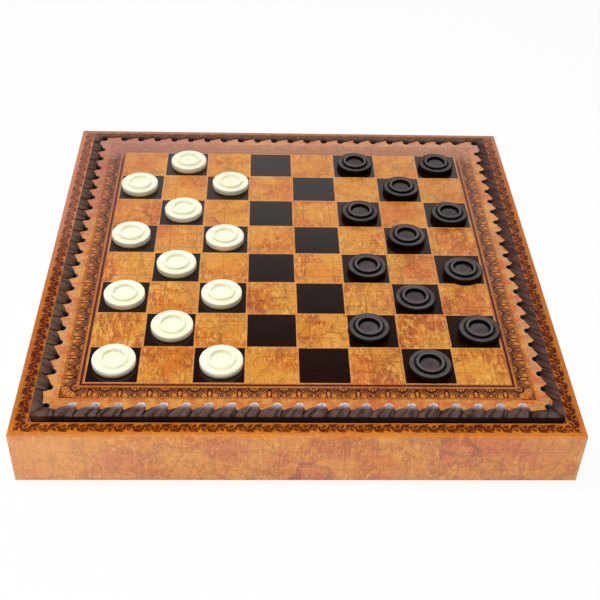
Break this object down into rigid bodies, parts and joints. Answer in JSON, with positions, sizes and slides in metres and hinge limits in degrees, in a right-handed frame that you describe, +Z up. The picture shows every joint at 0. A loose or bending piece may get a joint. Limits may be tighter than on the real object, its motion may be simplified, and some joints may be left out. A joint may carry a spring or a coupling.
{
  "type": "games compendium box",
  "caption": "Square games box covered in map-print leatherette, with a laced lift-off chequered board, draughts standing on it and chessmen stored in the wells below.",
  "frame": {"origin": "centre of the case's underside", "axes": "+Z up through the board; -Y is the front, the side nearest the viewer; +X to the right"},
  "size_m": [0.35, 0.35, 0.0506],
  "materials": {
    "case_leatherette": "semi-gloss printed leatherette",
    "board_leatherette": "semi-gloss printed leatherette with dark squares",
    "underside_leatherette": "satin leatherette",
    "lace_leather": "satin black leather lace",
    "board_core": "matt pale board",
    "panel_board": "bare fibreboard",
    "ledge_wood": "satin varnish",
    "baize": "napped baize",
    "lining_felt": "napped felt",
    "white_draught": "semi-gloss ivory plastic",
    "black_draught": "semi-gloss black plastic",
    "boxwood": "satin varnish",
    "stained_wood": "satin varnish"
  },
  "bodies": {
    "case": {"base_baize": "baize", "base_panel": "panel_board", "case_cover": "case_leatherette", "floor_lining": "lining_felt", "front_wall": "panel_board", "right_wall": "panel_board", "back_wall": "panel_board", "left_wall": "panel_board", "front_ledge": "ledge_wood", "right_ledge": "ledge_wood", "back_ledge": "ledge_wood", "left_ledge": "ledge_wood", "left_divider": "ledge_wood", "right_divider": "ledge_wood", "cross_divider": "ledge_wood", "white_king": "boxwood", "white_queen": "boxwood", "white_bishops": "boxwood", "white_knights": "boxwood", "white_rooks": "boxwood", "white_pawns": "boxwood", "black_king": "stained_wood", "black_queen": "stained_wood", "black_bishops": "stained_wood", "black_knights": "stained_wood", "black_rooks": "stained_wood", "black_pawns": "stained_wood"},
    "board": {"board_core": "board_core", "upper_cover": "board_leatherette", "lower_cover": "underside_leatherette", "front_lacing": "lace_leather", "right_lacing": "lace_leather", "back_lacing": "lace_leather", "left_lacing": "lace_leather"},
    "white_draught_01": {"white_draught_01": "white_draught"},
    "white_draught_02": {"white_draught_02": "white_draught"},
    "white_draught_03": {"white_draught_03": "white_draught"},
    "white_draught_04": {"white_draught_04": "white_draught"},
    "white_draught_05": {"white_draught_05": "white_draught"},
    "white_draught_06": {"white_draught_06": "white_draught"},
    "white_draught_07": {"white_draught_07": "white_draught"},
    "white_draught_08": {"white_draught_08": "white_draught"},
    "white_draught_09": {"white_draught_09": "white_draught"},
    "white_draught_10": {"white_draught_10": "white_draught"},
    "white_draught_11": {"white_draught_11": "white_draught"},
    "white_draught_12": {"white_draught_12": "white_draught"},
    "black_draught_01": {"black_draught_01": "black_draught"},
    "black_draught_02": {"black_draught_02": "black_draught"},
    "black_draught_03": {"black_draught_03": "black_draught"},
    "black_draught_04": {"black_draught_04": "black_draught"},
    "black_draught_05": {"black_draught_05": "black_draught"},
    "black_draught_06": {"black_draught_06": "black_draught"},
    "black_draught_07": {"black_draught_07": "black_draught"},
    "black_draught_08": {"black_draught_08": "black_draught"},
    "black_draught_09": {"black_draught_09": "black_draught"},
    "black_draught_10": {"black_draught_10": "black_draught"},
    "black_draught_11": {"black_draught_11": "black_draught"},
    "black_draught_12": {"black_draught_12": "black_draught"}
  },
  "joints": [
    {"name": "board_lift", "type": "slide", "parent": "case", "child": "board", "axis": [0, 0, 1], "range_m": [0, 0.12]},
    {"name": "white_draught_01_lift", "type": "slide", "parent": "board", "child": "white_draught_01", "axis": [0, 0, 1], "range_m": [0, 0.04]},
    {"name": "white_draught_02_lift", "type": "slide", "parent": "board", "child": "white_draught_02", "axis": [0, 0, 1], "range_m": [0, 0.04]},
    {"name": "white_draught_03_lift", "type": "slide", "parent": "board", "child": "white_draught_03", "axis": [0, 0, 1], "range_m": [0, 0.04]},
    {"name": "white_draught_04_lift", "type": "slide", "parent": "board", "child": "white_draught_04", "axis": [0, 0, 1], "range_m": [0, 0.04]},
    {"name": "white_draught_05_lift", "type": "slide", "parent": "board", "child": "white_draught_05", "axis": [0, 0, 1], "range_m": [0, 0.04]},
    {"name": "white_draught_06_lift", "type": "slide", "parent": "board", "child": "white_draught_06", "axis": [0, 0, 1], "range_m": [0, 0.04]},
    {"name": "white_draught_07_lift", "type": "slide", "parent": "board", "child": "white_draught_07", "axis": [0, 0, 1], "range_m": [0, 0.04]},
    {"name": "white_draught_08_lift", "type": "slide", "parent": "board", "child": "white_draught_08", "axis": [0, 0, 1], "range_m": [0, 0.04]},
    {"name": "white_draught_09_lift", "type": "slide", "parent": "board", "child": "white_draught_09", "axis": [0, 0, 1], "range_m": [0, 0.04]},
    {"name": "white_draught_10_lift", "type": "slide", "parent": "board", "child": "white_draught_10", "axis": [0, 0, 1], "range_m": [0, 0.04]},
    {"name": "white_draught_11_lift", "type": "slide", "parent": "board", "child": "white_draught_11", "axis": [0, 0, 1], "range_m": [0, 0.04]},
    {"name": "white_draught_12_lift", "type": "slide", "parent": "board", "child": "white_draught_12", "axis": [0, 0, 1], "range_m": [0, 0.04]},
    {"name": "black_draught_01_lift", "type": "slide", "parent": "board", "child": "black_draught_01", "axis": [0, 0, 1], "range_m": [0, 0.04]},
    {"name": "black_draught_02_lift", "type": "slide", "parent": "board", "child": "black_draught_02", "axis": [0, 0, 1], "range_m": [0, 0.04]},
    {"name": "black_draught_03_lift", "type": "slide", "parent": "board", "child": "black_draught_03", "axis": [0, 0, 1], "range_m": [0, 0.04]},
    {"name": "black_draught_04_lift", "type": "slide", "parent": "board", "child": "black_draught_04", "axis": [0, 0, 1], "range_m": [0, 0.04]},
    {"name": "black_draught_05_lift", "type": "slide", "parent": "board", "child": "black_draught_05", "axis": [0, 0, 1], "range_m": [0, 0.04]},
    {"name": "black_draught_06_lift", "type": "slide", "parent": "board", "child": "black_draught_06", "axis": [0, 0, 1], "range_m": [0, 0.04]},
    {"name": "black_draught_07_lift", "type": "slide", "parent": "board", "child": "black_draught_07", "axis": [0, 0, 1], "range_m": [0, 0.04]},
    {"name": "black_draught_08_lift", "type": "slide", "parent": "board", "child": "black_draught_08", "axis": [0, 0, 1], "range_m": [0, 0.04]},
    {"name": "black_draught_09_lift", "type": "slide", "parent": "board", "child": "black_draught_09", "axis": [0, 0, 1], "range_m": [0, 0.04]},
    {"name": "black_draught_10_lift", "type": "slide", "parent": "board", "child": "black_draught_10", "axis": [0, 0, 1], "range_m": [0, 0.04]},
    {"name": "black_draught_11_lift", "type": "slide", "parent": "board", "child": "black_draught_11", "axis": [0, 0, 1], "range_m": [0, 0.04]},
    {"name": "black_draught_12_lift", "type": "slide", "parent": "board", "child": "black_draught_12", "axis": [0, 0, 1], "range_m": [0, 0.04]}
  ]
}
